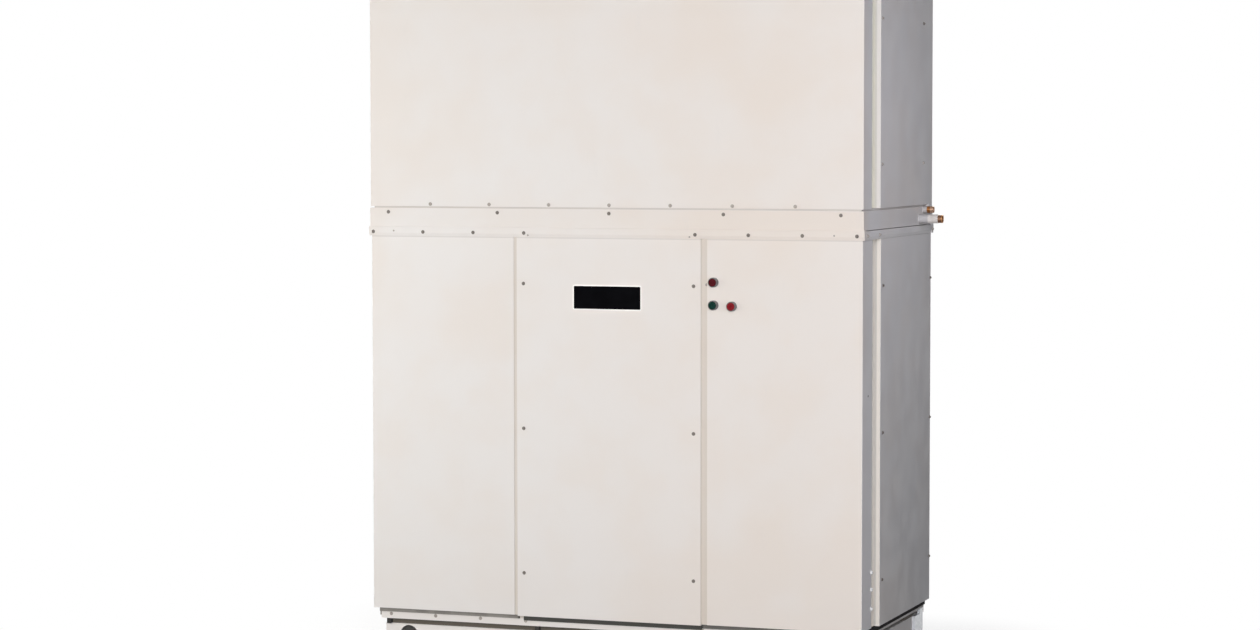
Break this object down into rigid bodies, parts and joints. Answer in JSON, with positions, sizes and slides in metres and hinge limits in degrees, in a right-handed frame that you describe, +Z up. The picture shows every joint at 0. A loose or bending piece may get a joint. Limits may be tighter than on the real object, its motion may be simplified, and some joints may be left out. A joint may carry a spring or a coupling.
{
  "type": "self-contained air conditioning unit",
  "caption": "Floor-standing packaged air conditioner: screwed lift-off panels on a steel base, fan section with roof duct collars and rear filters above a compressor section.",
  "frame": {"origin": "centre of the cabinet's footprint on the floor, under the centre base rail", "axes": "+Z up, +X to the right seen from the front, +Y to the back"},
  "size_m": [2.299, 1.146, 2.9675],
  "materials": {
    "cabinet_paint": "satin off-white powder coat",
    "recess_paint": "satin off-white paint in recesses",
    "base_paint": "satin pale grey paint on rolled steel",
    "galvanised": "galvanised sheet",
    "shaft_steel": "ground steel",
    "filter_media": "pleated synthetic media in a card frame",
    "bezel_metal": "dulled metal barrel",
    "base_primer": "brown primer under the base plate",
    "lens_dark_red": "clear red lens, unlit",
    "lens_red": "clear red lens",
    "lens_green": "clear green lens",
    "copper": "bare copper tube, dulled",
    "pipe_paint": "off-white sleeve",
    "seal_rubber": "dull black seal"
  },
  "bodies": {
    "root": {"air_filters": "filter_media", "base_plate": "base_paint", "base_rail_centre": "base_primer", "base_rail_front": "base_paint", "base_rail_left": "base_paint", "base_rail_rear": "base_paint", "base_rail_right": "base_paint", "control_cover": "cabinet_paint", "drain_pipe_stub": "copper", "duct_collar_left": "galvanised", "duct_collar_right": "galvanised", "fan_housing_left": "galvanised", "fan_housing_right": "galvanised", "fan_shaft": "shaft_steel", "fan_wheel_left": "galvanised", "fan_wheel_right": "galvanised", "filter_rack": "galvanised", "front_mullion_left": "recess_paint", "front_mullion_right": "recess_paint", "front_panel_left": "cabinet_paint", "front_panel_middle": "cabinet_paint", "lower_front_posts": "cabinet_paint", "lower_panel_seals": "seal_rubber", "lower_rear_panel_left": "cabinet_paint", "lower_rear_panel_right": "cabinet_paint", "lower_rear_posts": "galvanised", "lower_side_panel_left": "cabinet_paint", "lower_side_panel_right": "cabinet_paint", "panel_strip_front": "cabinet_paint", "panel_strip_left": "cabinet_paint", "panel_strip_rear": "cabinet_paint", "panel_strip_right": "cabinet_paint", "pilot_lens_green": "lens_green", "pilot_lens_red_lower": "lens_red", "pilot_lens_red_upper": "lens_dark_red", "pilot_light_bezels": "bezel_metal", "rear_feet": "galvanised", "roof_panel": "cabinet_paint", "section_band": "cabinet_paint", "upper_front_panel": "cabinet_paint", "upper_front_posts": "cabinet_paint", "upper_rear_corners": "cabinet_paint", "upper_side_panel_left": "cabinet_paint", "upper_side_panel_right": "cabinet_paint", "water_pipe_sleeve": "pipe_paint", "water_pipe_stub": "copper"}
  },
  "joints": []
}
